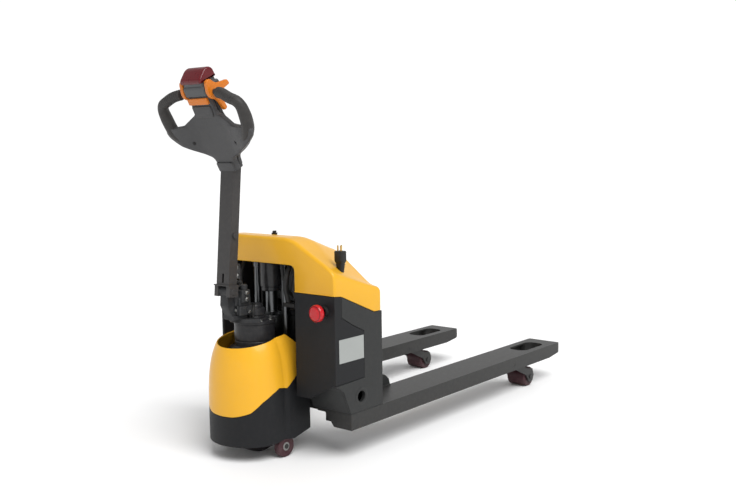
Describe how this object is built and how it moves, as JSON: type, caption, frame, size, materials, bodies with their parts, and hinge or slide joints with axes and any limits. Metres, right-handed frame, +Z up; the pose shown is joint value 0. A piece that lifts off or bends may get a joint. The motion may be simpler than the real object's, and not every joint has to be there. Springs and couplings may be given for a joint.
{
  "type": "electric pallet truck",
  "caption": "Walk-behind electric pallet truck with two long forks, yellow hood, steered drive unit and upright tiller with looped handle.",
  "frame": {"origin": "centre of the base of the whole truck's bounding box, on the floor", "axes": "+X from the operator's end to the fork tips, +Y to the operator's left, +Z up"},
  "size_m": [1.711, 0.6856, 1.2476],
  "materials": {
    "fork_paint": "satin charcoal paint",
    "body_paint": "satin charcoal paint",
    "hood_yellow": "glossy moulded yellow",
    "cover_yellow": "glossy moulded yellow",
    "cover_black": "grained black moulding",
    "label": "matt printed foil, blank",
    "red_plastic": "gloss red",
    "belly_red": "gloss dark red",
    "amber": "gloss amber",
    "head_grey": "fine grained dark grey",
    "box_grey": "fine grained grey",
    "grip_rubber": "moulded black rubber",
    "arm_steel": "black powder coat",
    "tyre_pu": "dark maroon polyurethane",
    "drive_pu": "black polyurethane",
    "steel": "machined steel",
    "cast": "painted casting",
    "motor": "black enamel",
    "alu": "die-cast",
    "cylinder": "black gloss enamel",
    "rod_steel": "ground and plated",
    "battery": "moulded case",
    "pump": "black enamel",
    "plug_black": "moulded black",
    "brass": "bright brass",
    "cable": "black sheathing",
    "horn_grey": "gloss grey"
  },
  "bodies": {
    "chassis": {"fork_right": "fork_paint", "fork_left": "fork_paint", "side_plate_right": "body_paint", "side_plate_left": "body_paint", "heel_right": "body_paint", "heel_left": "body_paint", "cheek_right": "cover_black", "cheek_left": "cover_black", "rear_plate": "body_paint", "cross_member": "body_paint", "cylinder_mast": "body_paint", "guide_rods": "rod_steel", "lift_cylinder": "cylinder", "hood": "hood_yellow", "rating_plate": "label", "e_stop_base": "plug_black", "charger_plug": "plug_black", "plug_blades": "brass", "key_base": "plug_black", "battery": "battery", "pump_unit": "pump", "charger": "battery", "controller": "alu", "harness": "cable"},
    "e_stop": {"e_stop_button": "red_plastic"},
    "key": {"key_knob": "plug_black"},
    "drive_base": {"base_plate": "fork_paint", "slew_ring": "steel", "lift_ram": "rod_steel", "castor_frame": "fork_paint", "drive_cover": "cover_yellow", "drive_skirt": "cover_black"},
    "steered_unit": {"gearbox": "cast", "drive_motor": "motor", "motor_brake": "motor", "tiller_base": "cast"},
    "tiller": {"tiller_pin": "arm_steel", "arm_foot": "arm_steel", "tiller_arm": "arm_steel", "gas_spring": "steel", "spring_bolt": "arm_steel", "head_shell": "head_grey", "head_back": "head_grey", "handle_loop_right": "grip_rubber", "handle_loop_left": "grip_rubber", "control_box": "box_grey"},
    "belly_button": {"belly_switch": "belly_red"},
    "throttle_paddles": {"throttle": "amber"},
    "rocker": {"lift_rocker": "amber"},
    "horn": {"horn_button": "horn_grey"},
    "drive_wheel": {"drive_hub": "cast", "drive_tyre": "drive_pu"},
    "castor_right": {"castor_wheel_right": "tyre_pu"},
    "castor_left": {"castor_wheel_left": "tyre_pu"},
    "roller_arms": {"roller_lever_right": "fork_paint", "roller_lever_left": "fork_paint"},
    "roller_right": {"load_roller_right": "tyre_pu"},
    "roller_left": {"load_roller_left": "tyre_pu"},
    "rods": {"pull_rod_right": "fork_paint", "pull_rod_left": "fork_paint"}
  },
  "joints": [
    {"name": "emergency_stop", "type": "slide", "parent": "chassis", "child": "e_stop", "axis": [1, 0, 0], "range_m": [0, 0.006]},
    {"name": "key_turn", "type": "hinge", "parent": "chassis", "child": "key", "pos_m": [-0.50852, 0, 0.7], "axis": [0, 0, 1], "range_deg": [-90, 0]},
    {"name": "lift", "type": "slide", "parent": "chassis", "child": "drive_base", "axis": [0, 0, -1], "range_m": [-0.067, 0.05]},
    {"name": "steering", "type": "hinge", "parent": "drive_base", "child": "steered_unit", "pos_m": [-0.60752, 0, 0.33], "axis": [0, 0, 1], "range_deg": [-75, 75]},
    {"name": "tiller_tilt", "type": "hinge", "parent": "steered_unit", "child": "tiller", "pos_m": [-0.72252, 0, 0.545], "axis": [0, -1, 0], "range_deg": [0, 85], "stiffness_Nm_per_rad": 30},
    {"name": "belly_push", "type": "slide", "parent": "tiller", "child": "belly_button", "axis": [0.4478, 0, -0.8942], "range_m": [0, 0.008], "stiffness_N_per_m": 900, "springref_m": -0.008},
    {"name": "throttle_turn", "type": "hinge", "parent": "tiller", "child": "throttle_paddles", "pos_m": [-0.79999, 0, 1.16534], "axis": [0, 1, 0], "range_deg": [-30, 30], "stiffness_Nm_per_rad": 0.6},
    {"name": "lift_rock", "type": "hinge", "parent": "tiller", "child": "rocker", "pos_m": [-0.8087, 0, 1.13806], "axis": [0, 1, 0], "range_deg": [-5, 5], "stiffness_Nm_per_rad": 0.5},
    {"name": "horn_push", "type": "slide", "parent": "tiller", "child": "horn", "axis": [-0.8942, 0, -0.4478], "range_m": [0, 0.003], "stiffness_N_per_m": 300, "springref_m": -0.002},
    {"name": "drive_spin", "type": "hinge", "parent": "steered_unit", "child": "drive_wheel", "pos_m": [-0.60752, 0, 0.105], "axis": [0, 1, 0], "continuous": true},
    {"name": "castor_right_spin", "type": "hinge", "parent": "drive_base", "child": "castor_right", "pos_m": [-0.60752, -0.125, 0.035], "axis": [0, 1, 0], "continuous": true},
    {"name": "castor_left_spin", "type": "hinge", "parent": "drive_base", "child": "castor_left", "pos_m": [-0.60752, 0.125, 0.035], "axis": [0, 1, 0], "continuous": true},
    {"name": "roller_arm_swing", "type": "hinge", "parent": "chassis", "child": "roller_arms", "pos_m": [0.45548, 0, 0.125], "axis": [0, 1, 0], "range_deg": [-22.8, 17]},
    {"name": "roller_right_spin", "type": "hinge", "parent": "roller_arms", "child": "roller_right", "pos_m": [0.62598, -0.269, 0.04], "axis": [0, 1, 0], "continuous": true},
    {"name": "roller_left_spin", "type": "hinge", "parent": "roller_arms", "child": "roller_left", "pos_m": [0.62598, 0.269, 0.04], "axis": [0, 1, 0], "continuous": true},
    {"name": "rod_pull", "type": "slide", "parent": "chassis", "child": "rods", "axis": [-1, 0, 0], "range_m": [-0.0088, 0.0066]}
  ],
  "couplings": [
    {"joint": "roller_arm_swing", "follows": "lift", "rad_per_m": 5.92},
    {"joint": "rod_pull", "follows": "lift", "ratio": 0.13}
  ]
}
